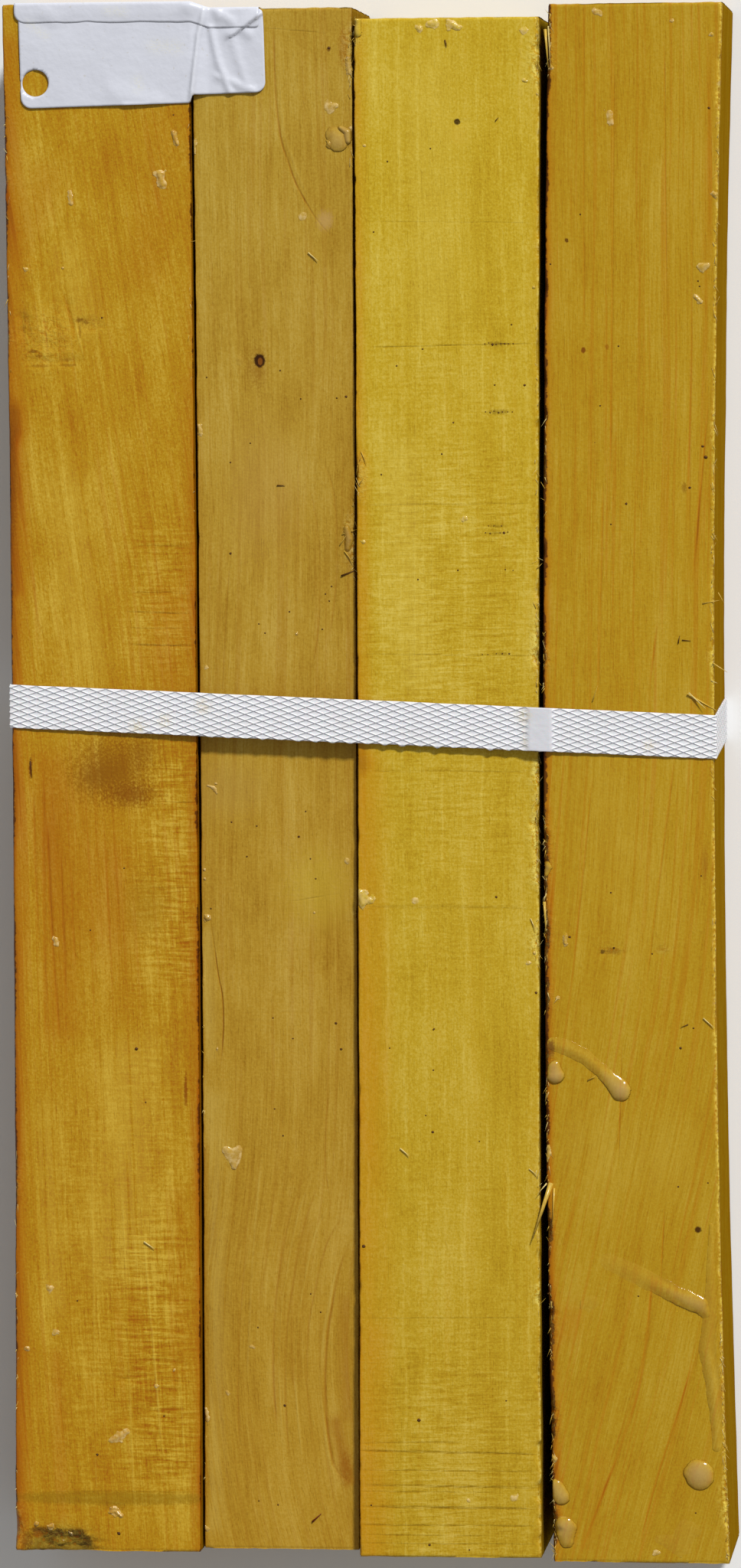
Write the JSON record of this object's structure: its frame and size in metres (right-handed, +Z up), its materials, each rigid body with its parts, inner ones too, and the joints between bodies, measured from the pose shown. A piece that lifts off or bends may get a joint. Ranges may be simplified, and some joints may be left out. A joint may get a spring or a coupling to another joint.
{
  "type": "pack of wood turning blanks",
  "caption": "Flat pack of wax-coated, square-sawn turning blanks side by side in one layer, held by a welded embossed plastic strap, with plastic tags at the heads.",
  "frame": {"origin": "middle of the pack's bounding box in plan, on the floor that the strap's underside rests on", "axes": "+X across the pack to the right as seen from above with the heads away, +Y along the blanks towards their heads, +Z up"},
  "size_m": [0.2126, 0.4592, 0.0549],
  "materials": {
    "wood_amber": "sawn, under a clear coat of wax",
    "wood_mustard": "sawn, under a clear coat of wax",
    "wood_lemon": "sawn, under a clear coat of wax",
    "wood_golden": "sawn, under a clear coat of wax",
    "strap_plastic": "white, diamond-embossed, slightly translucent",
    "tag_plastic": "white, smooth, satin"
  },
  "bodies": {
    "root": {"blank_1": "wood_amber", "blank_2": "wood_mustard", "blank_3": "wood_lemon", "blank_4": "wood_golden", "strap": "strap_plastic", "face_tag": "tag_plastic", "end_tag": "tag_plastic"}
  },
  "joints": []
}
